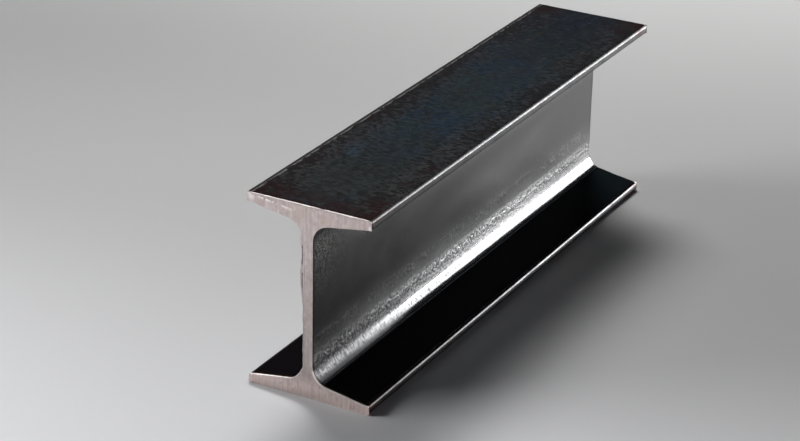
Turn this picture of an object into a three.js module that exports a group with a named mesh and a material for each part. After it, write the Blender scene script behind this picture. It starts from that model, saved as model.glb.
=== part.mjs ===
// A short length of hot-rolled steel I-beam: an American Standard S4 x 7.7 section with tapered
// flanges, sawn off square at both ends. It is rolled from one bar of steel, so it is one solid.
//
// Millimetres. The beam runs along Y and stands on its lower flange, with +Z up. The origin is
// the middle of that flange's underside.

import * as THREE from 'three';

// Overall sizes
const depth = 101.6;            // over both flanges, along Z
const flangeWidth = 67.6;       // from toe to toe, along X
const length = 314;             // from saw cut to saw cut, along Y

// The rolled section, the same in all four quarters
const webThickness = 4.9;
const flangeThickness = 7.44;   // nominal: halfway from the web's face to the toe
const flangeTaper = 1 / 6;      // slope of a flange's inner face
const rootRadius = 9.5;         // hollow between web and flange
const toeRadius = 1;            // round on a toe's inner edge
const edgeRadius = 1.6;         // round on a toe's outer edge

const STEPS_PER_ARC = 6;        // ExtrudeGeometry draws two facets for each step

// The three arcs of the section's upper right quarter, in order from the web out to the toe's
// outer edge. Each is tangent to the straight stretches on both sides of it.
function quarterArcs() {
  const halfWidth = flangeWidth / 2;
  const halfDepth = depth / 2;
  const webFace = webThickness / 2;
  const slope = Math.atan(flangeTaper);
  const toeThickness = flangeThickness - flangeTaper * (halfWidth - webFace) / 2;

  // height of the flange's inner face, at distance x from the middle of the web
  const innerFace = (x) => halfDepth - toeThickness - flangeTaper * (halfWidth - x);

  const rootX = webFace + rootRadius;
  const toeX = halfWidth - toeRadius;
  return [
    {
      x: rootX,
      z: innerFace(rootX) - rootRadius / Math.cos(slope),
      radius: rootRadius,
      from: Math.PI,
      to: Math.PI / 2 + slope,
      hollow: true,
    },
    {
      x: toeX,
      z: innerFace(toeX) + toeRadius / Math.cos(slope),
      radius: toeRadius,
      from: slope - Math.PI / 2,
      to: 0,
      hollow: false,
    },
    {
      x: halfWidth - edgeRadius,
      z: halfDepth - edgeRadius,
      radius: edgeRadius,
      from: 0,
      to: Math.PI / 2,
      hollow: false,
    },
  ];
}

// The whole outline, anticlockwise from the upper right root. Straight stretches join the arcs.
// A quarter mirrored in one axis is run through backwards, which keeps each arc's sense of turn.
function sectionOutline() {
  const outline = new THREE.Shape();
  const arcs = quarterArcs();
  const backwards = [...arcs].reverse();

  for (const arc of arcs) {
    outline.absarc(arc.x, arc.z, arc.radius, arc.from, arc.to, arc.hollow);
  }
  for (const arc of backwards) {
    outline.absarc(-arc.x, arc.z, arc.radius, Math.PI - arc.to, Math.PI - arc.from, arc.hollow);
  }
  for (const arc of arcs) {
    outline.absarc(-arc.x, -arc.z, arc.radius, Math.PI + arc.from, Math.PI + arc.to, arc.hollow);
  }
  for (const arc of backwards) {
    outline.absarc(arc.x, -arc.z, arc.radius, -arc.to, -arc.from, arc.hollow);
  }
  outline.closePath();
  return outline;
}

const rolledSteel = new THREE.MeshStandardMaterial({
  color: 0x2f3336,              // blue-black mill scale
  roughness: 0.4,
  metalness: 0.9,
});

function rolledBeam() {
  const geometry = new THREE.ExtrudeGeometry(sectionOutline(), {
    depth: length,
    curveSegments: STEPS_PER_ARC,
    bevelEnabled: false,
  });
  const beam = new THREE.Mesh(geometry, rolledSteel);
  beam.name = 'i_beam';
  beam.rotation.x = Math.PI / 2;              // section upright, extrusion along -Y
  beam.position.set(0, length / 2, depth / 2);
  return beam;
}

const part = new THREE.Group();
part.add(rolledBeam());

export default part;
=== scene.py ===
"""A short length of hot-rolled steel I-beam, sawn at both ends, on a plain pale floor.

Metres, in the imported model's frame: the beam runs along Y, stands on its lower flange and +Z is up.
The near end is the one at -Y. The section is outlined here from the same sizes as the CAD solid,
then drawn along Y as one closed skin with rolled relief, a torn burr round each cut and saw marks
on both end faces.
"""

import math

import bpy
import numpy as np
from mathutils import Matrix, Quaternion, Vector, noise
from mathutils.geometry import delaunay_2d_cdt


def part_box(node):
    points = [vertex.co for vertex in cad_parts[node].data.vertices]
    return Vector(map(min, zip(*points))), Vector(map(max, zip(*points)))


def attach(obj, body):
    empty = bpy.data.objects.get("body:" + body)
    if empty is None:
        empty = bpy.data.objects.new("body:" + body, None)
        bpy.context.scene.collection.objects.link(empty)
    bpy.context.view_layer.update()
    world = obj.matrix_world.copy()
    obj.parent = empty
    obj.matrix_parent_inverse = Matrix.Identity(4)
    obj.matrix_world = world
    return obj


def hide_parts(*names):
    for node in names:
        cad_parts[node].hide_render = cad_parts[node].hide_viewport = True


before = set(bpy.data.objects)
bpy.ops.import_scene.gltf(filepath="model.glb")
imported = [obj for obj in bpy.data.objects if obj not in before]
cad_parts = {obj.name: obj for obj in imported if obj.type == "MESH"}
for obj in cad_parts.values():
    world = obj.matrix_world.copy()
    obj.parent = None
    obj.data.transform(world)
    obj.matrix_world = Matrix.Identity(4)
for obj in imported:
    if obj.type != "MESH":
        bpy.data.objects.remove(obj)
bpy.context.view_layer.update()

MM = 0.001

# ---------------------------------------------------------------- sizes

BOX_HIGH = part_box("i_beam")[1]
HALF_WIDTH = BOX_HIGH.x
HALF_LENGTH = BOX_HIGH.y
DEPTH = BOX_HIGH.z
HALF_DEPTH = DEPTH / 2

WEB = 4.9 * MM
FLANGE = 7.44 * MM              # halfway from the web's face to the toe
TAPER = 1 / 6                   # slope of a flange's inner face
ROOT_RADIUS = 9.5 * MM          # hollow between web and flange
TOE_RADIUS = 1.0 * MM           # round on a toe's inner edge
EDGE_RADIUS = 1.6 * MM          # round on a toe's outer edge
SQUARER = 0.22                  # power that squares the round on the upper left edge
TOE_BOW = 0.53 * MM             # how far a worn toe face falls back towards its top
SLOPE = math.atan(TAPER)

SKIN_INSET = 0.04 * MM          # least distance from the CAD solid's faces to the rolled relief
CUT_INSET = 0.32 * MM           # a sawn face lies this far inside the CAD solid's end
BOX_GAP = 0.01 * MM             # no point comes closer than this to the CAD solid's box
BOX_LIMIT = HALF_WIDTH - BOX_GAP

STATIONS = 282                  # rings of points along the skin
STEPS = {"root": 14, "toe": 5, "edge": 8}                       # along each arc
HALF_FLATS = {"web": 14, "flange": 12, "toe_face": 3, "outer": 18}   # along each flat

# ---------------------------------------------------------------- section


def quarter_arcs():
    """The upper right quarter's arcs, from the web out: centre x, z, radius, angle from, angle to."""
    toe = FLANGE - TAPER * (HALF_WIDTH - WEB / 2) / 2

    def inner_face(x):
        return HALF_DEPTH - toe - TAPER * (HALF_WIDTH - x)

    root_x = WEB / 2 + ROOT_RADIUS
    toe_x = HALF_WIDTH - TOE_RADIUS
    root_z = inner_face(root_x) - ROOT_RADIUS / math.cos(SLOPE)
    toe_z = inner_face(toe_x) + TOE_RADIUS / math.cos(SLOPE)
    return {
        "root": (root_x, root_z, ROOT_RADIUS, math.pi, math.pi / 2 + SLOPE),
        "toe": (toe_x, toe_z, TOE_RADIUS, SLOPE - math.pi / 2, 0.0),
        "edge": (HALF_WIDTH - EDGE_RADIUS, HALF_DEPTH - EDGE_RADIUS, EDGE_RADIUS, 0.0, math.pi / 2),
    }


def quarter_outline():
    """Points, outward normals and stretch names of the upper right quarter, mid-web to mid-flange."""
    arcs = quarter_arcs()
    points = []
    normals = []
    names = []

    def add(point, normal, name):
        points.append(point)
        normals.append(normal)
        names.append(name)

    def arc_point(name, angle):
        x, z, radius = arcs[name][:3]
        return (x + radius * math.cos(angle), z + radius * math.sin(angle))

    def add_arc(name):
        start, end = arcs[name][3:]
        side = -1 if name == "root" else 1      # a root is hollow, so its normal points inwards
        for i in range(STEPS[name] + 1):
            angle = start + (end - start) * i / STEPS[name]
            add(arc_point(name, angle), (side * math.cos(angle), side * math.sin(angle)), name)

    def add_flat(end, name):
        """The points strictly between the last point and the next arc's start."""
        start = points[-1]
        along = (end[0] - start[0], end[1] - start[1])
        size = math.hypot(*along)
        for i in range(1, HALF_FLATS[name]):
            t = i / HALF_FLATS[name]
            point = (start[0] + along[0] * t, start[1] + along[1] * t)
            add(point, (along[1] / size, -along[0] / size), name)

    add((WEB / 2, 0.0), (1.0, 0.0), "web")
    add_flat(arc_point("root", arcs["root"][3]), "web")
    add_arc("root")
    add_flat(arc_point("toe", arcs["toe"][3]), "flange")
    add_arc("toe")
    add_flat(arc_point("edge", arcs["edge"][3]), "toe_face")
    add_arc("edge")
    add_flat((0.0, HALF_DEPTH), "outer")
    add((0.0, HALF_DEPTH), (0.0, 1.0), "outer")
    return np.array(points), np.array(normals), names


def section_outline():
    """The closed outline from its four quarters, anticlockwise seen from -Y, z from the floor."""
    points, normals, names = quarter_outline()
    last = len(points) - 1
    order = [
        ((1, 1), list(range(0, last + 1))),
        ((-1, 1), list(range(last - 1, -1, -1))),
        ((-1, -1), list(range(1, last + 1))),
        ((1, -1), list(range(last - 1, 0, -1))),
    ]
    out_points = []
    out_normals = []
    out_names = []
    for flips, indices in order:
        sign = np.array(flips, dtype=float)
        for i in indices:
            out_points.append(points[i] * sign)
            out_normals.append(normals[i] * sign)
            out_names.append(names[i])
    outline = np.array(out_points)
    outline[:, 1] += HALF_DEPTH
    return crowned(outline, out_names), np.array(out_normals), out_names


def crowned(outline, names):
    """The outline with each toe face's upper half bowed, and the upper left edge made squarer."""
    toes = [i for i, name in enumerate(names) if name in ("toe", "toe_face", "edge")]
    for upper in (True, False):
        flange = [i for i in toes if (outline[i, 1] > HALF_DEPTH) == upper]
        top = max(outline[i, 1] for i in flange)
        middle = (top + min(outline[i, 1] for i in flange)) / 2
        for i in flange:
            x, z = outline[i]
            off = max(0.0, (z - middle) / (top - middle))
            outline[i, 0] -= math.copysign(TOE_BOW * off * off, x)
    for i, name in enumerate(names):
        if name == "edge":
            x, z = outline[i]
            if x < 0 and z > HALF_DEPTH:
                across = (EDGE_RADIUS - HALF_WIDTH - x) / EDGE_RADIUS
                up = (z - DEPTH + EDGE_RADIUS) / EDGE_RADIUS
                outline[i, 0] = EDGE_RADIUS - HALF_WIDTH - EDGE_RADIUS * max(across, 0.0) ** SQUARER
                outline[i, 1] = DEPTH - EDGE_RADIUS + EDGE_RADIUS * max(up, 0.0) ** SQUARER
    return outline


OUTLINE, OUTWARD, STRETCH = section_outline()
COUNT = len(OUTLINE)


def gap_to(names):
    """Each point's distance along the outline from the nearest point of the named stretches."""
    steps = np.linalg.norm(np.roll(OUTLINE, -1, axis=0) - OUTLINE, axis=1)
    around = np.concatenate(([0.0], np.cumsum(steps)))
    total = around[-1]
    around = around[:-1]
    marked = np.array([around[i] for i, name in enumerate(STRETCH) if name in names])
    gap = np.abs(around[:, None] - marked[None, :])
    return np.minimum(gap, total - gap).min(axis=1)


def distance_to(names, reach):
    """1 on the named stretches, falling smoothly to 0 at this distance from them."""
    near = np.clip(1 - gap_to(names) / reach, 0, 1)
    return near * near * (3 - 2 * near)


def band_at(names, middle, width):
    """A soft band along the outline, its middle this far from the named stretches."""
    return np.exp(-((gap_to(names) - middle) / width) ** 2)


def rise(values, low, high):
    """0 up to low, 1 from high, and a straight climb between them."""
    return np.clip((values - low) / (high - low), 0, 1)


SIDEWAYS = np.abs(OUTWARD[:, 0])        # 1 where the surface faces straight left or right
UPWARD = OUTWARD[:, 1]                  # 1 where it faces straight up
UPPER = OUTLINE[:, 1] > HALF_DEPTH
LEFT = OUTLINE[:, 0] < 0

# The masks below hold one value for each outline point, and the materials read them as attributes
ROOT_MASK = distance_to(("root",), 9 * MM)
ON_WEB = rise(SIDEWAYS, 0.95, 0.995)
# A faint line of coarse grain on the web, some way from each root
MOTTLE = band_at(("root",), 13 * MM, 2.8 * MM) * ON_WEB
# Bright satin band where a root runs out into the web, pebbled along its middle, in a wide glow
SATIN = distance_to(("root",), 8 * MM) * rise(SIDEWAYS, 0.91, 0.97)
PEBBLES = band_at(("root",), 2.7 * MM, 2.8 * MM) * rise(SIDEWAYS, 0.94, 0.99)
FRINGE = band_at(("web",), 2.4 * MM, 1.8 * MM) * rise(SIDEWAYS, 0.80, 0.90)
GLOW = distance_to(("root",), 24 * MM) * ON_WEB
# The upper root lies in the flange's shade and shows far less of it
SHADED = 0.3
for band in (SATIN, PEBBLES, FRINGE, GLOW):
    band[UPPER] *= SHADED
# The rolls polish a root from the web to where it turns under; past that it keeps the flange's scale
TURN = rise(SIDEWAYS, 0.40, 0.58)
ROOT_CORE = distance_to(("root",), 2.5 * MM) * TURN
# The toes are worn bright on their outer faces; where they turn under they stay dark, as painted shade
TOE_MASK = distance_to(("toe", "toe_face", "edge"), 1.2 * MM)
RUBBED = TOE_MASK * rise(SIDEWAYS, 0.30, 0.60) * rise(UPWARD, -0.24, -0.04)
RIM_MASK = distance_to(("edge",), 4 * MM)
# The left upper edge was never rubbed: it keeps matt, flaky scale
RUBBED[UPPER & LEFT] = 0.0
FLAKY = distance_to(("edge",), 2.0 * MM)
FLAKY[~(UPPER & LEFT)] = 0.0
WEB_MASK = distance_to(("web",), 5 * MM)
# Black scale on the flanges' inner faces, as far as the toes' turned-under corners, painted blacker as
# shade
INNER_SHADE_MASK = np.maximum(distance_to(("flange",), 3 * MM), ROOT_MASK * (1 - TURN))
INNER_SHADE_MASK = np.maximum(INNER_SHADE_MASK, distance_to(("toe",), 0.3 * MM) * rise(-UPWARD, 0.0, 0.3))
# The saw threw its burrs upwards, widest on the lower flange's right upper edge, where they also carry
# the most painted highlight
BURR_MASK = np.clip(0.3 + 1.2 * UPWARD, 0.0, 1.0)
BURR_MASK[UPPER & (UPWARD < 0)] = 0.0
LOW_BURR = np.where((OUTLINE[:, 1] < HALF_DEPTH / 2) & (UPWARD > 0.2), 1.0, 0.0)
LOW_BURR[LEFT] *= 0.2
BURR_AND_GLINT = BURR_MASK * (1 + LOW_BURR)
LIP = (0.20 + 0.28 * LOW_BURR) * MM     # width of the slope behind a burr's tip
# The saw came out on the left: it pushed a lip past the skin there, and squared the toes' corners
LEFT_LIP = 0.70 * MM            # along the web's lower half
TORN_LIP = 1.90 * MM            # along the web's upper half, where a sliver hangs off the cut
TORN_FROM = 48 * MM             # the sliver starts at this height
TORN_FULL = 56 * MM             # and has its full width from this one
CORNER_LIP = 0.55 * MM          # at the toes' corners
TORN = rise(OUTLINE[:, 1], TORN_FROM, TORN_FULL) * ON_WEB
LEFT_REACH = LEFT_LIP + (TORN_LIP - LEFT_LIP) * TORN
LIP_MASK = rise(-OUTWARD[:, 0], 0.12, 0.62) * (1 - TOE_MASK) * LEFT_REACH
SLANTED = np.abs(2 * OUTWARD[:, 0] * UPWARD)        # 1 where a corner's round faces 45 degrees
LIP_MASK += distance_to(("toe", "edge"), 0.6 * MM) * SLANTED * CORNER_LIP

# ---------------------------------------------------------------- relief


def fractal(x, y, z, octaves=3):
    """Smooth noise, about -1 to 1, with detail at each halving of its size."""
    value = 0.0
    weight = 1.0
    total = 0.0
    for _ in range(octaves):
        value += weight * noise.noise((x, y, z))
        total += weight
        x, y, z = x * 2.03, y * 2.03, z * 2.03
        weight *= 0.5
    return value / total


# Small dents in the upper toes' edges: side (1 right, -1 left), y in metres, then half width and
# depth in millimetres
NICKS = [
    (1, 0.1035, 1.6, 0.30),
    (1, -0.1290, 1.2, 0.08),
    (1, -0.0410, 1.5, 0.14),
    (1, 0.0310, 0.9, 0.20),
    (-1, -0.0900, 1.4, 0.22),
    (-1, -0.0150, 1.0, 0.18),
    (-1, 0.0720, 1.8, 0.25),
    (-1, 0.1330, 1.1, 0.20),
]


# Relief of the rolled skin, in millimetres
SKIN_WAVE = 0.06                # slow waves all over
ROOT_WAVE = 0.06                # more at the roots
TOE_WEAR = 0.07                 # and along the toes


def skin_depth(i, y):
    """How far the rolled surface lies below the section's outline at one point, in metres."""
    x, z = OUTLINE[i]
    wave = 0.5 + 0.5 * fractal(x * 60 + 3.1, y * 28, z * 60 + 1.7, 2)
    depth = SKIN_WAVE * wave
    root = ROOT_MASK[i]
    if root > 0:
        depth += root * ROOT_WAVE * (0.5 + 0.5 * fractal(x * 130, y * 120 + 9.2, z * 130, 2))
    toe = TOE_MASK[i]
    if toe > 0:
        worn = fractal(x * 150 + 7.7, y * 190, z * 150, 3)
        depth += toe * TOE_WEAR * (0.5 + 0.5 * worn)
    if RIM_MASK[i] > 0:
        for side, place, half, deep in NICKS:
            near = 1 - ((y - place) / (half * MM)) ** 2
            if near > 0 and side * x > 0 and z > HALF_DEPTH:
                depth += RIM_MASK[i] ** 2 * deep * near * near
    return depth * MM


def ring(y, extra_inset=0.0):
    """One ring of skin points at y, or at a y for each point."""
    ys = np.broadcast_to(y, (COUNT,))
    depth = np.array([skin_depth(i, ys[i]) for i in range(COUNT)]) + SKIN_INSET + extra_inset
    points = np.empty((COUNT, 3))
    points[:, (0, 2)] = OUTLINE - OUTWARD * depth[:, None]
    points[:, 1] = ys
    return points


def end_rings(side):
    """The rings round one cut, from the skin to the sawn face's rim: chamfer, burr tip and lip."""
    start = np.empty(COUNT)         # where the chamfer begins, from the CAD solid's end
    tip = np.empty(COUNT)           # where the burr ends
    width = np.empty(COUNT)         # how far its tip lies inside the skin; below 0 it stands past it
    for i in range(COUNT):
        x, z = OUTLINE[i]
        ragged = fractal(x * 900, side * 4.3, z * 900, 3)
        slow = fractal(x * 160, side * 2.1 + 5.5, z * 160, 2)
        upward = BURR_MASK[i]
        # In millimetres: a little all round, and more where the saw threw its burrs
        start[i] = CUT_INSET + (0.06 + upward * (0.16 + 0.24 * ragged + 0.24 * slow)) * MM
        tip[i] = CUT_INSET - (0.02 + upward * (0.10 + 0.20 * ragged + 0.16 * slow)) * MM
        width[i] = (0.05 + upward * (0.12 + 0.12 * ragged)) * MM
        pushed = LIP_MASK[i] * (1 + 0.5 * ragged + 0.7 * slow)
        start[i] += 0.9 * pushed
        width[i] -= pushed
    tip = np.clip(tip, 0.01 * MM, CUT_INSET - 0.01 * MM)
    chamfer = ring(side * (HALF_LENGTH - start))
    burr = ring(side * (HALF_LENGTH - tip), width)
    rim = ring(side * (HALF_LENGTH - CUT_INSET), width + LIP)
    for points in (burr, rim):
        points[:, 0] = np.clip(points[:, 0], -BOX_LIMIT, BOX_LIMIT)
        points[:, 2] = np.clip(points[:, 2], BOX_GAP, DEPTH - BOX_GAP)
    return chamfer, burr, rim


CAP_STEP_X = 0.26 * MM          # spacing of a sawn face's inner points
CAP_STEP_Z = 1.1 * MM
CAP_MARGIN = 0.55 * MM          # they keep this far inside its rim

# A row of chatter marks that the saw left below the near cut's top edge, from the left toe inwards
CHATTER_LEFT = -33.4 * MM
CHATTER_RIGHT = -8.5 * MM
CHATTER_TOP = 100.9 * MM
CHATTER_DROP = 0.137            # how fast the row falls away to the right
CHATTER_PITCH = 1.62 * MM
CHATTER_DEPTH = 0.20 * MM
CHATTER_RUN = 0.55 * MM
CHATTER_BAND = 5.2 * MM         # height of the part of the near cut that holds the marks
CHATTER_STEP_Z = 0.28 * MM


def smooth(value, low, high):
    """A smooth step from 0 at low to 1 at high."""
    t = min(max((value - low) / (high - low), 0.0), 1.0)
    return t * t * (3 - 2 * t)


def chatter(x, z):
    """Depth of the saw's chatter marks at one point of the near cut."""
    if not CHATTER_LEFT < x < CHATTER_RIGHT:
        return 0.0
    row = CHATTER_TOP - CHATTER_DROP * (x - CHATTER_LEFT)
    wobble = 0.4 * noise.noise((x * 420, 0.7, 3.1))
    cell = ((x + 0.30 * (z - row)) / CHATTER_PITCH + wobble) % 1.0
    tooth = smooth(cell, 0.0, 0.18) * (1 - smooth(cell, 0.50, 0.72))
    fading = 1 - smooth(x, CHATTER_RIGHT - 3 * MM, CHATTER_RIGHT)
    above = smooth(z - row, -CHATTER_RUN, 0.0) * (1 - smooth(z - row, 1.0 * MM, 2.6 * MM))
    return CHATTER_DEPTH * tooth * above * fading


def saw_relief(x, z, side):
    """How far a sawn face stands out at one point, in metres: fine saw lines and a few coarse ones."""
    lines = noise.noise((x * 1500, z * 22, side * 3.0))
    coarse = noise.noise((x * 420, z * 14, side * 5.0 + 2.0))
    depth = chatter(x, z) if side < 0 else 0.0
    return (0.012 * lines + 0.016 * coarse) * MM - depth


def inside_outline(xs, zs, outline):
    """Which of the points lie inside the closed outline."""
    inside = np.zeros(len(xs), dtype=bool)
    x0, z0 = outline[:, 0], outline[:, 1]
    x1, z1 = np.roll(x0, -1), np.roll(z0, -1)
    for ax, az, bx, bz in zip(x0, z0, x1, z1):
        if az == bz:
            continue
        crossing = (az > zs) != (bz > zs)
        inside ^= crossing & (xs < (bx - ax) * (zs - az) / (bz - az) + ax)
    return inside


def cap_grid(side):
    """Staggered points over a sawn face, closer together along the chatter marks."""
    xs = np.arange(-HALF_WIDTH, HALF_WIDTH, CAP_STEP_X)
    columns = []
    for k, x in enumerate(xs):
        z = CAP_STEP_Z / 2 * (k % 2)
        while z < DEPTH:
            columns.append((x, z))
            marked = side < 0 and x < CHATTER_RIGHT and z > CHATTER_TOP - CHATTER_BAND
            z += CHATTER_STEP_Z if marked else CAP_STEP_Z
    return np.array(columns)


def cap_faces(rim, side, start, first_new):
    """Triangles of a sawn face, and its inner points. start is the rim's first vertex."""
    outline = rim[:, (0, 2)]
    grid = cap_grid(side)
    shrunk = outline - OUTWARD * CAP_MARGIN
    keep = inside_outline(grid[:, 0], grid[:, 1], shrunk)
    points = [Vector(p) for p in outline] + [Vector(p) for p in grid[keep]]
    edges = [(i, (i + 1) % COUNT) for i in range(COUNT)]
    made, _, triangles, from_points = delaunay_2d_cdt(points, edges, [], 1, 1e-9)[:4]
    inner = []
    index = {}
    for new, old in enumerate(from_points):
        source = old[0]
        if source < COUNT:
            index[new] = start + source
        else:
            x, z = made[new]
            index[new] = first_new + len(inner)
            inner.append((x, side * (HALF_LENGTH - CUT_INSET + saw_relief(x, z, side)), z))
    faces = []
    for triangle in triangles:
        corners = tuple(index[v] for v in triangle)
        faces.append(corners if side < 0 else corners[::-1])
    return inner, faces


# ---------------------------------------------------------------- beam

SKIN, SAWN = 0, 1               # material slots
FIRST_STATION = 1.1 * MM        # the skin's first ring lies this far from the cut
SHARP_ANGLE = 32                # degrees: edges that turn more than this aren't shaded smooth
BURR_RINGS = {0: 0.35, 1: 1.0, 2: 1.0, -1: 0.35, -2: 1.0, -3: 1.0}     # how bright, by ring
SKIN_MASKS = {
    "root": ROOT_MASK,
    "mottle": MOTTLE,
    "satin": SATIN,
    "pebbles": PEBBLES,
    "fringe": FRINGE,
    "glow": GLOW,
    "root_core": ROOT_CORE,
    "toe": RUBBED,
    "rim": RIM_MASK,
    "flaky": FLAKY,
    "web": WEB_MASK,
    "inner": INNER_SHADE_MASK,
}


def beam_mesh():
    """The whole beam as one closed mesh: rings along the skin, and a triangulated face at each cut."""
    first = end_rings(-1)
    last = end_rings(1)
    inner_ys = np.linspace(FIRST_STATION - HALF_LENGTH, HALF_LENGTH - FIRST_STATION, STATIONS)
    rings = [first[2], first[1], first[0]]
    rings += [ring(y) for y in inner_ys]
    rings += [last[0], last[1], last[2]]
    total = len(rings)
    verts = np.concatenate(rings).tolist()
    faces = []
    materials = []
    for j in range(total - 1):
        a = j * COUNT
        b = a + COUNT
        sawn = j < 2 or j >= total - 3
        for i in range(COUNT):
            k = (i + 1) % COUNT
            faces.append((a + i, b + i, b + k, a + k))
            materials.append(SAWN if sawn else SKIN)
    for side, rim, start in ((-1, rings[0], 0), (1, rings[-1], (total - 1) * COUNT)):
        inner, triangles = cap_faces(rim, side, start, len(verts))
        verts += inner
        faces += triangles
        materials += [SAWN] * len(triangles)
    mesh = bpy.data.meshes.new("rolled_beam")
    mesh.from_pydata(verts, [], faces)
    mesh.polygons.foreach_set("material_index", materials)
    mesh.polygons.foreach_set("use_smooth", [True] * len(faces))
    mesh.update()
    mesh.set_sharp_from_angle(angle=math.radians(SHARP_ANGLE))

    def attribute(name, around, at_rings=None):
        """Stores an outline mask on every ring, or on the given rings only, counted from either end."""
        values = np.zeros(len(verts))
        for j in range(total):
            place = j if j < total / 2 else j - total
            weight = 1.0 if at_rings is None else at_rings.get(place, 0.0)
            values[j * COUNT:(j + 1) * COUNT] = around * weight
        mesh.attributes.new(name, "FLOAT", "POINT").data.foreach_set("value", values)

    for name, around in SKIN_MASKS.items():
        attribute(name, around)
    attribute("burr", BURR_AND_GLINT, BURR_RINGS)
    print("rolled_beam:", len(verts), "points,", sum(len(f) - 2 for f in faces), "triangles")
    return mesh


# ---------------------------------------------------------------- materials


class Shader:
    """A material's node tree, built in short calls. Values are numbers, tuples or node outputs."""

    def __init__(self, name):
        self.material = bpy.data.materials.new(name)
        self.material.use_nodes = True
        self.tree = self.material.node_tree
        self.principled = self.tree.nodes["Principled BSDF"]
        coords = self.tree.nodes.new("ShaderNodeTexCoord")
        self.object = coords.outputs["Object"]
        split = self.node("ShaderNodeSeparateXYZ", self.object)
        self.x, self.y, self.z = split.outputs

    def node(self, kind, *inputs, **settings):
        """A new node with these settings, its first inputs filled in order."""
        made = self.tree.nodes.new(kind)
        for key, value in settings.items():
            setattr(made, key, value)
        for socket, value in zip(made.inputs, inputs):
            self.put(socket, value)
        return made

    def put(self, socket, value):
        """Links a node output to a socket, or sets a number or colour on it."""
        if value is None:
            return
        if isinstance(value, bpy.types.NodeSocket):
            self.tree.links.new(value, socket)
        elif isinstance(value, tuple) and socket.type == "RGBA":
            socket.default_value = (*value, 1.0)
        else:
            socket.default_value = value

    def math(self, operation, *inputs):
        return self.node("ShaderNodeMath", *inputs, operation=operation).outputs[0]

    def size(self, value):
        """The value without its sign."""
        return self.math("ABSOLUTE", value)

    def most(self, a, b):
        return self.math("MAXIMUM", a, b)

    def without(self, mask, share=1.0):
        """What a mask leaves over: 1 where it is 0."""
        return self.add(1.0, self.mul(mask, -share))

    def mul(self, a, b):
        return self.math("MULTIPLY", a, b)

    def add(self, a, b):
        return self.math("ADD", a, b)

    def fade(self, value, low, high, to_low=0.0, to_high=1.0):
        """A smooth step from to_low at low, to to_high at high."""
        made = self.tree.nodes.new("ShaderNodeMapRange")
        made.interpolation_type = "SMOOTHSTEP"
        for socket, v in zip(made.inputs, (value, low, high, to_low, to_high)):
            self.put(socket, v)
        return made.outputs[0]

    def mix(self, factor, a, b):
        """The number a where factor is 0, and b where it is 1."""
        made = self.tree.nodes.new("ShaderNodeMix")
        made.data_type = "FLOAT"
        for socket, v in zip((made.inputs[0], made.inputs[2], made.inputs[3]), (factor, a, b)):
            self.put(socket, v)
        return made.outputs[0]

    def tint(self, factor, a, b):
        """The colour a where factor is 0, and b where it is 1."""
        made = self.tree.nodes.new("ShaderNodeMix")
        made.data_type = "RGBA"
        for socket, v in zip((made.inputs[0], made.inputs[6], made.inputs[7]), (factor, a, b)):
            self.put(socket, v)
        return made.outputs[2]

    def attribute(self, name):
        """One of the masks stored on the mesh."""
        return self.node("ShaderNodeAttribute", attribute_name=name).outputs["Fac"]

    def noise(self, size, detail=2.0, rough=0.5, stretch=(1, 1, 1), at=(0, 0, 0), warp=0.0):
        """Noise from 0 to 1 with features about this many millimetres across, times the stretch."""
        scale = tuple(1 / (size * MM * s) for s in stretch)
        mapping = self.tree.nodes.new("ShaderNodeMapping")
        self.tree.links.new(self.object, mapping.inputs["Vector"])
        mapping.inputs["Scale"].default_value = scale
        mapping.inputs["Location"].default_value = at
        made = self.tree.nodes.new("ShaderNodeTexNoise")
        self.tree.links.new(mapping.outputs[0], made.inputs["Vector"])
        made.inputs["Scale"].default_value = 1.0
        made.inputs["Detail"].default_value = detail
        made.inputs["Roughness"].default_value = rough
        made.inputs["Distortion"].default_value = warp
        return made.outputs["Fac"]

    def near(self, place, radius, stretch=(1, 1, 1)):
        """1 at a place, falling smoothly to 0 at this radius in metres."""
        scaled = self.node("ShaderNodeVectorMath", self.object, place, operation="SUBTRACT").outputs[0]
        inverse = tuple(1 / s for s in stretch)
        scaled = self.node("ShaderNodeVectorMath", scaled, inverse, operation="MULTIPLY").outputs[0]
        length = self.node("ShaderNodeVectorMath", scaled, operation="LENGTH").outputs["Value"]
        return self.fade(length, radius, 0.0)

    def finish(self, color, roughness, height, distance, metallic):
        """Fills the shader's sockets; distance is how deep a height of 1 is, in metres."""
        self.put(self.principled.inputs["Base Color"], color)
        self.put(self.principled.inputs["Roughness"], roughness)
        self.put(self.principled.inputs["Metallic"], metallic)
        bump = self.tree.nodes.new("ShaderNodeBump")
        bump.inputs["Strength"].default_value = 1.0
        bump.inputs["Distance"].default_value = distance
        self.tree.links.new(height, bump.inputs["Height"])
        self.tree.links.new(bump.outputs[0], self.principled.inputs["Normal"])
        return self.material


# Places on the beam that the materials single out
BLUE_PATCH = (-0.0215, -0.0895, DEPTH)              # a bluer stain on the top face
# The next place is the middle of a painted sheen on the right web
WEB_SHEEN_SPOT = (WEB / 2, 0.0, 0.039)                     # middle of the right web's paler stretch
ROUGH_CORNER = (WEB / 2, -HALF_LENGTH, DEPTH * 0.84)        # worm-like marks, upper near corner
LEFT_CORNER = (-0.0318, -HALF_LENGTH, 0.0992)       # bright corners of the near cut's upper flange
RIGHT_CORNER = (0.0330, -HALF_LENGTH, 0.0976)
STRAW_SPOT = (0.0085, -HALF_LENGTH, 0.0957)         # a straw-coloured spot on the near cut
LAMP_FOOT = (-0.83, -0.52, 0.0)                     # floor below the front lamp

BUMP = 0.05 * MM                # a height of 1 in the steel's materials
FLOOR_BUMP = 0.02 * MM


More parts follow.
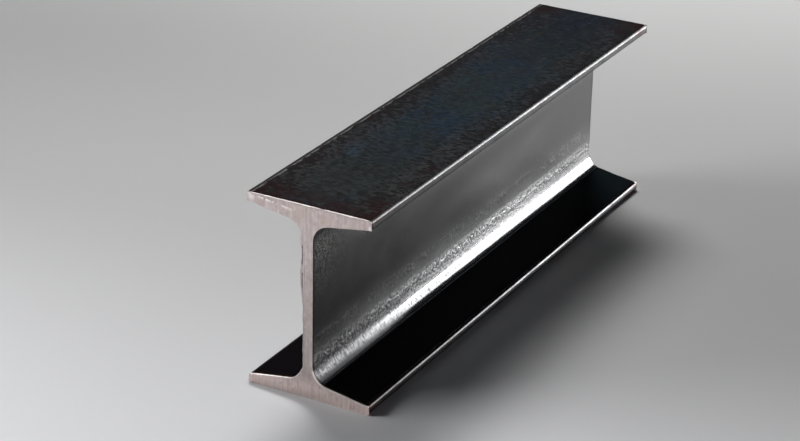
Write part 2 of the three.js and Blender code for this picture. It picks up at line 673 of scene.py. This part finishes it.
def flange_scale(s, inner, flaky):
    """The flanges' colour, with the masks of its dark blotches, their noise and the flaky edge."""
    side = s.size(s.x)

    # Slow drifts between teal, blue and neutral, stretched along the rolling direction
    drift = s.noise(22, 3, 0.55, (1, 2.0, 1), (0.3, 0.1, 0.7), 0.4)
    hue = s.noise(13, 3, 0.6, (1, 1.8, 1), (5.1, 2.2, 0.4), 0.6)
    green = s.noise(11, 3, 0.6, (1, 1.6, 1), (2.9, 7.7, 1.4), 0.6)
    drift = s.fade(drift, 0.38, 0.60)
    near_end = s.tint(drift, (0.172, 0.192, 0.196), (0.152, 0.180, 0.226))
    middle = s.tint(drift, (0.134, 0.212, 0.242), (0.112, 0.198, 0.306))
    far_end = s.tint(drift, (0.074, 0.112, 0.142), (0.060, 0.100, 0.176))
    color = s.tint(s.fade(s.y, -0.13, -0.03), near_end, middle)
    color = s.tint(s.fade(s.y, 0.02, 0.13), color, far_end)
    color = s.tint(s.mul(s.fade(hue, 0.50, 0.66), 0.65), color, (0.152, 0.146, 0.160))
    color = s.tint(s.mul(s.fade(green, 0.52, 0.68), 0.5), color, (0.130, 0.180, 0.165))
    blue = s.near(BLUE_PATCH, 0.014, (1, 1.2, 1))
    blue = s.mul(blue, s.fade(green, 0.36, 0.52))
    color = s.tint(s.mul(blue, 1.6), color, (0.19, 0.32, 0.46))

    # Thin pale wisps where the scale has been brushed
    wisp = s.noise(7, 2, 0.5, (0.35, 1.6, 1.0), (2.7, 6.2, 0.3), 1.2)
    wisp = s.mul(s.fade(wisp, 0.60, 0.66), s.fade(wisp, 0.66, 0.72, 1.0, 0.0))
    color = s.tint(s.mul(wisp, 0.75), color, (0.27, 0.29, 0.29))

    # Browner towards the edges of the near half, and flecked all over, most of all by the edges
    by_edge = s.fade(side, 0.010, HALF_WIDTH)
    warm = s.mul(s.fade(side, 0.012, 0.024), s.fade(s.y, 0.06, -0.10, 0.25, 1.0))
    color = s.tint(s.mul(warm, 0.75), color, (0.242, 0.228, 0.228))
    flecks = s.noise(2.3, 2, 0.68, (1.4, 0.9, 1), (7.3, 3.9, 0.6))
    middle_flecks = s.fade(s.y, -0.11, 0.10, 0.50, 0.27)
    edge_flecks = s.fade(s.y, -0.05, 0.15, 1.0, 0.75)
    busy = s.fade(side, 0.006, 0.026, middle_flecks, edge_flecks)
    pale_flecks = s.mul(s.fade(flecks, 0.51, 0.62), s.mul(busy, 0.70))
    dark_flecks = s.mul(s.fade(flecks, 0.48, 0.37), s.mul(busy, 0.85))
    color = s.tint(pale_flecks, color, (0.35, 0.36, 0.37))
    color = s.tint(dark_flecks, color, (0.050, 0.049, 0.052))

    # Dark blotches and rust, thick near the flange edges and the saw cuts
    by_cut = s.fade(s.size(s.y), HALF_LENGTH - 0.034, HALF_LENGTH)
    patch = s.noise(3.4, 5, 0.66, (1.35, 0.9, 1.0), (3.3, 8.1, 1.2), 0.5)
    field = s.noise(14, 2, 0.5, (1.0, 1.6, 1.0), (1.3, 2.1, 4.2))
    spread = s.add(s.mul(by_edge, 0.18), s.mul(by_cut, 0.07))
    spread = s.add(spread, s.fade(field, 0.35, 0.65, -0.08, 0.06))
    blotch = s.fade(s.add(patch, spread), 0.58, 0.70)
    color = s.tint(s.mul(blotch, 0.8), color, (0.085, 0.066, 0.066))
    rust_field = s.noise(8, 3, 0.6, (1, 1, 1), (9.4, 0.8, 6.6), 0.5)
    rust = s.fade(s.add(rust_field, s.mul(by_cut, 0.24)), 0.56, 0.72)
    rust = s.mul(rust, s.most(by_edge, s.fade(s.y, -0.135, -0.15, 0.0, 0.7)))
    color = s.tint(s.mul(rust, 0.9), color, (0.140, 0.045, 0.048))

    # The flanges' inner faces keep a black scale, painted blacker as shade
    inner_shade = s.tint(s.fade(s.y, 0.02, 0.15), (0.008, 0.007, 0.008), (0.012, 0.016, 0.018))
    color = s.tint(inner, color, inner_shade)

    # Flaky dark scale along the left edge, with a broken paler line
    chipped = s.fade(s.noise(2.6, 3, 0.7, (1, 2.4, 1), (0.9, 6.1, 3.7)), 0.47, 0.57)
    edge_zone = s.fade(flaky, 0.0, 0.5)
    outermost = s.fade(flaky, 0.80, 0.94)
    flaky = s.most(outermost, s.mul(flaky, s.without(chipped, 0.9)))
    color = s.tint(edge_zone, color, (0.120, 0.115, 0.112))
    color = s.tint(flaky, color, (0.020, 0.018, 0.018))
    return color, blotch, patch, flaky


def mill_scale():
    """Rolled skin: dark blue-grey scale, rust at the ends and edges, worn bright at roots and toes."""
    s = Shader("mill_scale")
    root = s.attribute("root")
    mottle = s.attribute("mottle")
    satin = s.attribute("satin")
    pebbles = s.attribute("pebbles")
    fringe = s.attribute("fringe")
    glow = s.attribute("glow")
    core = s.attribute("root_core")
    toe = s.attribute("toe")
    rim = s.attribute("rim")
    web = s.attribute("web")
    inner = s.attribute("inner")
    flange, blotch, patch, flaky = flange_scale(s, inner, s.attribute("flaky"))

    # Web: neutral satin grey, paler than the flanges' scale as a painted reflection of the floor, with
    # a painted sheen round its middle and painted shade in its upper and far parts
    cloud = s.noise(18, 3, 0.55, (1, 1.5, 1), (2.2, 4.4, 0.9))
    plain = s.tint(s.fade(cloud, 0.3, 0.7), (0.340, 0.340, 0.345), (0.388, 0.385, 0.387))
    web_sheen = s.near(WEB_SHEEN_SPOT, 0.085, (1, 1, 0.30))
    plain = s.tint(s.fade(web_sheen, 0.0, 0.7), plain, (0.49, 0.49, 0.495))
    web_shade = s.mul(s.fade(s.z, 0.050, 0.064), s.fade(s.y, -0.06, 0.0))
    web_shade = s.most(web_shade, s.fade(s.y, 0.06, 0.12))
    plain = s.tint(web_shade, plain, (0.285, 0.284, 0.286))
    color = s.tint(web, flange, plain)

    # Paler satin beside the roots, pebbled, with a fainter broken line of grain further up
    far = s.fade(s.y, 0.05, 0.14)
    color = s.tint(s.mul(glow, 0.85), color, s.tint(far, (0.80, 0.80, 0.805), (0.45, 0.45, 0.455)))
    grain = s.noise(1.9, 1.5, 0.6, (1, 1, 1), (4.0, 4.0, 4.0))
    color = s.tint(satin, color, s.tint(far, (0.98, 0.98, 0.985), (0.62, 0.62, 0.625)))
    speckled = s.tint(s.fade(grain, 0.36, 0.58), (0.38, 0.38, 0.385), (1.0, 1.0, 1.0))
    speckled = s.tint(s.mul(far, 0.5), speckled, (0.38, 0.38, 0.385))
    broken = s.noise(6, 2, 0.5, (1, 1.6, 1), (3.1, 0.4, 2.8))
    mottle = s.mul(mottle, s.fade(broken, 0.40, 0.60))
    streaky = s.tint(s.fade(grain, 0.36, 0.58), (0.30, 0.30, 0.30), (0.70, 0.70, 0.70))
    color = s.tint(s.mul(mottle, 0.6), color, streaky)
    color = s.tint(s.mul(pebbles, 0.9), color, speckled)

    # Roots and toes, polished by the rolls and by handling
    speck = s.noise(1.1, 3, 0.6, (1, 1, 1), (6.1, 3.0, 2.5))
    polish = s.mul(core, s.fade(speck, 0.25, 0.55, 0.75, 1.0))
    color = s.tint(s.mul(polish, s.without(satin)), color, (0.60, 0.60, 0.61))
    wear = s.noise(2.4, 4, 0.65, (1, 3.5, 1), (1.0, 7.0, 4.0))
    worn = s.mul(toe, s.fade(wear, 0.35, 0.6, 0.45, 1.0))
    upper = s.tint(s.fade(s.y, -0.15, 0.05), (0.17, 0.17, 0.17), (0.32, 0.32, 0.32))
    lower = s.tint(s.fade(s.y, -0.15, 0.13), (0.11, 0.11, 0.11), (0.50, 0.50, 0.50))
    # Painted shade: the lower toes darker at their foot, by the floor
    lower = s.tint(s.fade(s.z, 3.4 * MM, 1.8 * MM), lower, (0.06, 0.06, 0.06))
    color = s.tint(worn, color, s.tint(s.fade(s.z, 0.4 * DEPTH, 0.6 * DEPTH), lower, upper))

    # The steel is duller and darker towards the near cut, and the roots stay dull for longer; on the
    # web this darkening is painted shade
    uneven = s.add(s.y, s.fade(cloud, 0.3, 0.7, -0.012, 0.012))
    dull = s.fade(uneven, -0.16, -0.03, 1.0, 0.0)
    dull_root = s.fade(uneven, -0.16, 0.02, 1.0, 0.0)
    dull_and_shade = s.mul(s.mul(s.most(root, satin), 0.93), dull_root)
    dull_and_shade = s.mul(dull_and_shade, s.without(inner))
    dull_and_shade = s.most(s.mul(s.mul(web, 0.66), dull), dull_and_shade)
    color = s.tint(dull_and_shade, color, (0.09, 0.09, 0.094))

    # Dark and bright strokes across the lower half's bright band, strongest in the near half
    across = s.noise(1.3, 2, 0.6, (2.2, 0.8, 2.2), (5.0, 2.0, 1.0))
    strokes = s.mul(s.add(across, grain), 0.5)
    band = s.mul(s.most(core, satin), s.fade(s.z, 10.5 * MM, 12 * MM))
    band = s.mul(band, s.fade(s.y, -0.02, 0.06, 1.0, 0.2))
    dark = s.mul(s.fade(strokes, 0.49, 0.40), s.mul(band, 0.55))
    light = s.mul(s.fade(strokes, 0.51, 0.60), s.mul(band, s.mul(dull_root, 0.13)))
    color = s.tint(dark, color, (0.02, 0.02, 0.02))
    color = s.tint(light, color, (0.9, 0.9, 0.9))

    # Worm-like marks in the web's upper near corner
    corner = s.mul(s.near(ROUGH_CORNER, 0.046), web)
    worms = s.noise(1.6, 2, 0.5, (1, 1, 1), (8.0, 2.0, 5.0), 2.0)
    wormy = s.tint(s.fade(worms, 0.42, 0.62), (0.045, 0.045, 0.043), (0.42, 0.42, 0.40))
    color = s.tint(corner, color, wormy)

    # A rusty seam right behind each cut
    seam = s.fade(s.size(s.y), HALF_LENGTH - 0.0030, HALF_LENGTH - 0.0008)
    seam = s.mul(seam, s.fade(grain, 0.30, 0.55, 0.5, 1.0))
    seam = s.mul(seam, s.fade(s.y, 0.0, 0.1, 0.8, 0.2))
    color = s.tint(seam, color, (0.045, 0.026, 0.022))

    # Roughness
    smear = s.noise(12, 4, 0.6, (1, 2, 1), (8.0, 1.0, 3.0), 0.5)
    rough = s.fade(smear, 0.3, 0.7, 0.09, 0.12)
    rough = s.mix(blotch, rough, 0.11)
    rough = s.mix(s.fade(inner, 0.6, 1.0), rough, 0.50)
    rough = s.mix(web, rough, 0.28)
    rough = s.mix(glow, rough, 0.40)
    rough = s.mix(core, rough, s.fade(dull, 0.0, 0.8, 0.12, 0.42))
    feather = s.fade(s.add(satin, s.add(s.mul(grain, 0.8), -0.4)), 0.2, 0.8)
    rough = s.mix(feather, rough, 0.43)
    rough = s.mix(toe, rough, 0.33)
    rough = s.mix(flaky, rough, 0.75)

    # Height in units of the bump distance
    fine = s.mul(s.noise(0.7, 2, 0.5, (1, 1.2, 1), (1.1, 1.3, 1.7)), 0.10)
    rugged = s.fade(s.y, -0.135, -0.02, 10.0, 14.0)
    coarse = s.add(s.mul(mottle, 5.0), s.mul(pebbles, rugged))
    coarse = s.add(coarse, s.mul(core, s.mul(dull, 3.0)))
    coarse = s.add(coarse, s.mul(fringe, 5.0))
    coarse = s.most(coarse, s.mul(corner, 8.0))
    grain = s.mul(grain, s.add(coarse, 0.15))
    across = s.mul(across, s.fade(s.z, 10.5 * MM, 14 * MM))
    grain = s.add(grain, s.mul(across, s.mul(core, s.add(s.mul(dull, 5.0), 1.0))))
    flakes = s.mul(s.fade(patch, 0.50, 0.66), s.mul(rim, 0.3))
    rolled = s.mul(s.noise(1.6, 3, 0.6, (1, 4, 1), (7.0, 2.0, 1.0)), s.mul(toe, 0.5))
    height = s.add(s.add(fine, grain), s.add(flakes, rolled))
    # The root runs out softly into the web
    runout = s.mul(s.fade(s.y, -0.11, 0.0, 2.0, 14.0), s.fade(s.y, 0.08, 0.14, 1.0, 0.5))
    height = s.add(height, s.mul(s.fade(s.z, 26 * MM, 12 * MM), runout))
    # Painted shade: the flanges' inner faces stay black at a low angle too, their reflections dimmed
    s.put(s.principled.inputs["Specular Tint"], s.tint(inner, (1.0, 1.0, 1.0), (0.01, 0.01, 0.01)))
    return s.finish(color, rough, height, BUMP, 0.93)


def sawn_steel():
    """Fresh sawn steel: lines up the face, faint warm stains, chatter flecks and torn burrs, with
    painted light and highlights.
    """
    s = Shader("sawn_steel")
    burr = s.attribute("burr")
    lines = s.noise(0.9, 3, 0.6, (1, 1, 40), (0.4, 0.0, 0.8))
    bands = s.noise(3.2, 2, 0.5, (1, 1, 14), (7.3, 0.0, 0.2))
    stain = s.noise(11, 3, 0.55, (1, 1, 1.3), (5.0, 3.0, 9.0), 0.4)
    cloud = s.noise(2.2, 3, 0.6, (1, 1, 1.6), (1.9, 0.0, 4.1), 0.5)
    # Painted light: the face is a little brighter towards its top. The flanges are pinker than the web
    upper = s.fade(s.z, 0.0, DEPTH)

    def painted_top_light(low, high):
        """A colour that changes from the floor to the top, as painted light."""
        return s.tint(upper, low, high)

    pale = painted_top_light((0.520, 0.464, 0.450), (0.745, 0.671, 0.654))
    dark = painted_top_light((0.350, 0.301, 0.290), (0.503, 0.438, 0.427))
    color = s.tint(s.fade(lines, 0.3, 0.7), dark, pale)
    pinkish = painted_top_light((0.443, 0.361, 0.344), (0.623, 0.508, 0.492))
    color = s.tint(s.mul(s.fade(bands, 0.45, 0.7), 0.45), color, pinkish)
    straw = painted_top_light((0.410, 0.344, 0.279), (0.574, 0.500, 0.418))
    color = s.tint(s.mul(s.fade(stain, 0.52, 0.68), 0.5), color, straw)
    flange = s.fade(s.size(s.add(s.z, -HALF_DEPTH)), 0.030, 0.044)
    pinker = painted_top_light((0.459, 0.361, 0.344), (0.640, 0.517, 0.500))
    color = s.tint(s.mul(flange, 0.45), color, pinker)
    # The lower flange, most of all its right end, catches more light
    foot = s.mul(s.fade(s.z, 13 * MM, 5 * MM), s.fade(s.x, -5 * MM, 25 * MM, 0.5, 0.85))
    footlight = s.tint(s.fade(lines, 0.3, 0.7), (0.80, 0.65, 0.61), (0.98, 0.84, 0.80))
    color = s.tint(foot, color, footlight)
    bloom = painted_top_light((0.62, 0.56, 0.54), (0.86, 0.79, 0.77))
    color = s.tint(s.mul(s.fade(cloud, 0.52, 0.66), 0.35), color, bloom)
    smudge = painted_top_light((0.28, 0.23, 0.22), (0.40, 0.34, 0.32))
    color = s.tint(s.mul(s.fade(cloud, 0.46, 0.34), 0.30), color, smudge)

    # Bright flecks along the chatter marks, and the toes' corners where the saw broke through: bright
    # torn steel, painted brighter as glints
    row = s.add(s.mul(s.x, -CHATTER_DROP), CHATTER_TOP + CHATTER_DROP * CHATTER_LEFT - 0.1 * MM)
    off_row = s.size(s.add(s.z, s.mul(row, -1.0)))
    fleck = s.fade(off_row, 0.75 * MM, 0.25 * MM)
    fleck = s.mul(fleck, s.fade(s.x, CHATTER_RIGHT, CHATTER_RIGHT - 2 * MM))
    dash = s.noise(1.25, 1, 0.5, (1, 1, 3), (2.2, 0.0, 6.4))
    fleck = s.mul(fleck, s.mul(s.fade(dash, 0.44, 0.56), s.fade(s.y, -0.15, -0.155)))
    left_corner = s.near(LEFT_CORNER, 0.0034, (1, 1, 0.8))
    right_corner = s.near(RIGHT_CORNER, 0.0022, (0.7, 1, 1))
    bright = s.most(fleck, s.most(left_corner, right_corner))
    color = s.tint(s.mul(bright, 0.9), color, (0.96, 0.90, 0.885))
    spot = s.near(STRAW_SPOT, 0.0030, (1.3, 1, 0.8))
    color = s.tint(s.mul(spot, 0.5), color, (0.60, 0.48, 0.35))

    # Painted shadow in the gap between the web and the sliver hanging off its left edge
    gap = s.fade(s.size(s.add(s.x, WEB / 2 + 0.95 * MM)), 0.42 * MM, 0.12 * MM)
    gap = s.mul(gap, s.mul(s.fade(s.z, 0.054, 0.060), s.fade(s.z, 0.0820, 0.0800)))
    ragged = s.noise(3.0, 2, 0.5, (1, 1, 1), (8.8, 0.0, 1.2))
    gap = s.mul(gap, s.mul(s.fade(ragged, 0.36, 0.50), s.fade(s.y, -0.15, -0.155)))
    color = s.tint(s.mul(gap, 0.9), color, (0.035, 0.024, 0.020))

    # Burrs: bright torn steel with a painted highlight, strongest round the lower flange
    burr_glint = s.tint(s.fade(s.z, 0.020, 0.030), (0.98, 0.93, 0.91), (0.46, 0.435, 0.425))
    color = s.tint(burr, color, burr_glint)
    rough = s.fade(lines, 0.3, 0.7, 0.42, 0.54)
    rough = s.mix(burr, rough, 0.52)
    scratch = s.mul(s.noise(0.35, 2, 0.5, (1, 1, 30), (2.0, 0.0, 1.0)), 0.16)
    torn = s.mul(s.noise(0.5, 3, 0.6, (1, 1, 1), (3.0, 1.0, 5.0)), s.mul(burr, 1.2))
    return s.finish(color, rough, s.add(scratch, torn), BUMP, 0.85)


def studio_paper():
    """Pale grey paper, with painted shade off to the left and painted light in front and behind."""
    s = Shader("studio_paper")
    cloud = s.noise(700, 2, 0.5)
    # The tones change along lines a little askew to the beam
    left = s.fade(s.add(s.x, s.mul(s.y, -0.234)), -0.10, -0.54)
    front = s.fade(s.add(s.y, s.mul(s.x, -0.214)), 0.06, -0.39)
    back = s.fade(s.y, 0.15, 0.76)
    color = s.tint(left, (0.540, 0.539, 0.539), (0.392, 0.390, 0.391))
    color = s.tint(front, color, (0.960, 0.962, 0.990))
    color = s.tint(back, color, (0.90, 0.896, 0.890))
    # Darker paper at the front lamp's foot, outside the picture, where its light would burn out
    color = s.tint(s.mul(s.near(LAMP_FOOT, 0.62), 0.85), color, (0.10, 0.10, 0.10))
    grain = s.noise(2.0, 2, 0.5)
    rough = s.fade(cloud, 0.3, 0.7, 0.85, 0.9)
    s.principled.inputs["Specular IOR Level"].default_value = 0.0
    return s.finish(color, rough, grain, FLOOR_BUMP, 0.0)


beam = bpy.data.objects.new("rolled_beam", beam_mesh())
bpy.context.scene.collection.objects.link(beam)
beam.data.materials.append(mill_scale())
beam.data.materials.append(sawn_steel())
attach(beam, "root")
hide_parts("i_beam")

# ---------------------------------------------------------------- stage

FLOOR_RADIUS = 2.6
WALL_CURVE = 0.5                # radius of the rim's curve
WALL_STEPS = 16
FLOOR_SEGMENTS = 96


def stage_floor():
    """A round floor whose rim curves up into a low wall."""
    profile = []
    for i in range(WALL_STEPS + 1):
        turn = math.pi / 2 * i / WALL_STEPS
        radius = FLOOR_RADIUS - WALL_CURVE + WALL_CURVE * math.sin(turn)
        profile.append((radius, WALL_CURVE * (1 - math.cos(turn))))
    verts = [(0, 0, 0)]
    faces = []
    for radius, z in profile:
        for s in range(FLOOR_SEGMENTS):
            angle = 2 * math.pi * s / FLOOR_SEGMENTS
            verts.append((radius * math.cos(angle), radius * math.sin(angle), z))
    for s in range(FLOOR_SEGMENTS):
        faces.append((0, 1 + s, 1 + (s + 1) % FLOOR_SEGMENTS))
    for k in range(len(profile) - 1):
        first = 1 + k * FLOOR_SEGMENTS
        for s in range(FLOOR_SEGMENTS):
            a = first + s
            b = first + (s + 1) % FLOOR_SEGMENTS
            faces.append((a, a + FLOOR_SEGMENTS, b + FLOOR_SEGMENTS, b))
    mesh = bpy.data.meshes.new("floor")
    mesh.from_pydata(verts, [], faces)
    mesh.polygons.foreach_set("use_smooth", [True] * len(faces))
    floor = bpy.data.objects.new("floor", mesh)
    bpy.context.scene.collection.objects.link(floor)
    mesh.materials.append(studio_paper())


stage_floor()


def toward(azimuth, elevation, distance):
    """A place seen from the beam: azimuth 0 is -Y and 90 is +X, in degrees."""
    a = math.radians(azimuth)
    e = math.radians(elevation)
    flat = distance * math.cos(e)
    return Vector((flat * math.sin(a), -flat * math.cos(a), distance * math.sin(e)))


def area_light(name, place, target, width, height, radiance, diffuse=True, spread=180):
    """A soft box that the camera doesn't see. Without diffuse it shows only in reflections."""
    light = bpy.data.lights.new(name, "AREA")
    light.shape = "RECTANGLE"
    light.size = width
    light.size_y = height
    light.spread = math.radians(spread)
    light.energy = radiance * math.pi * width * height
    if spread < 180:        # a grid on a lamp brightens its middle, so its power comes down
        half = light.spread / 2
        light.energy *= 1 - half / math.tan(half)
    lamp = bpy.data.objects.new(name, light)
    lamp.location = place
    lamp.rotation_mode = "QUATERNION"
    lamp.rotation_quaternion = (Vector(target) - Vector(place)).to_track_quat("-Z", "Y")
    lamp.visible_camera = False
    lamp.visible_diffuse = diffuse
    bpy.context.scene.collection.objects.link(lamp)


BEAM_FOOT = (0, 0, 0)
BEAM_LOW = (0, 0, 0.03)
BEAM_TOP = (0, 0, 0.1)

# The two lamps that light the floor and cast the shadows
area_light("back_key", toward(-140, 54, 2.4), BEAM_FOOT, 0.94, 0.84, 16.2)
area_light("front_key", toward(-58, 18, 1.2), BEAM_FOOT, 0.7, 0.5, 11.0, spread=104)
# White cards behind the beam, mirrored in its web, roots and toes
area_light("back_panel", toward(139, 14.5, 2.2), BEAM_LOW, 2.55, 1.12, 2.6, diffuse=False)
area_light("low_strip", toward(141, 5.6, 2.1), BEAM_LOW, 2.1, 0.36, 5.0, diffuse=False)
# A very dim card above them, for the top face's faint sheen
area_light("sky_card", toward(-149, 29, 2.5), BEAM_TOP, 2.2, 1.5, 0.05, diffuse=False)

# A world that is grey below, up to a little over the horizon, and nearly black above
GREY_TO = 0.13                  # height of a direction, from 0 on the horizon to 1 straight up
BLACK_FROM = 0.23
world = bpy.data.worlds.new("studio")
bpy.context.scene.world = world
world.use_nodes = True
sky = world.node_tree
coords = sky.nodes.new("ShaderNodeTexCoord")
split = sky.nodes.new("ShaderNodeSeparateXYZ")
shades = sky.nodes.new("ShaderNodeValToRGB")
sky.links.new(coords.outputs["Generated"], split.inputs[0])
sky.links.new(split.outputs[2], shades.inputs[0])
sky.links.new(shades.outputs[0], sky.nodes["Background"].inputs["Color"])
low_stop, high_stop = shades.color_ramp.elements
low_stop.position = GREY_TO
low_stop.color = (0.42, 0.42, 0.42, 1)
high_stop.position = BLACK_FROM
high_stop.color = (0.010, 0.011, 0.013, 1)

# ---------------------------------------------------------------- camera

# Fitted to the beam's straight edges in the photograph: degrees, metres, and millimetres of lens
CAMERA_AZIMUTH = 28.515
CAMERA_ELEVATION = 24.385
CAMERA_ROLL = 1.184
CAMERA_DISTANCE = 1.0989
CAMERA_TARGET = Vector((0.0486, -0.157, 0.10577))
CAMERA_LENS = 108.72
CAMERA_SENSOR = 36

camera_data = bpy.data.cameras.new("camera")
camera_data.lens = CAMERA_LENS
camera_data.sensor_width = CAMERA_SENSOR
camera = bpy.data.objects.new("camera", camera_data)
back = toward(CAMERA_AZIMUTH, CAMERA_ELEVATION, 1.0)
camera.location = CAMERA_TARGET + back * CAMERA_DISTANCE
camera.rotation_mode = "QUATERNION"
roll = Quaternion((0, 0, 1), math.radians(CAMERA_ROLL))
camera.rotation_quaternion = (-back).to_track_quat("-Z", "Y") @ roll
bpy.context.scene.collection.objects.link(camera)
bpy.context.scene.camera = camera
bpy.context.scene.view_settings.view_transform = "Standard"
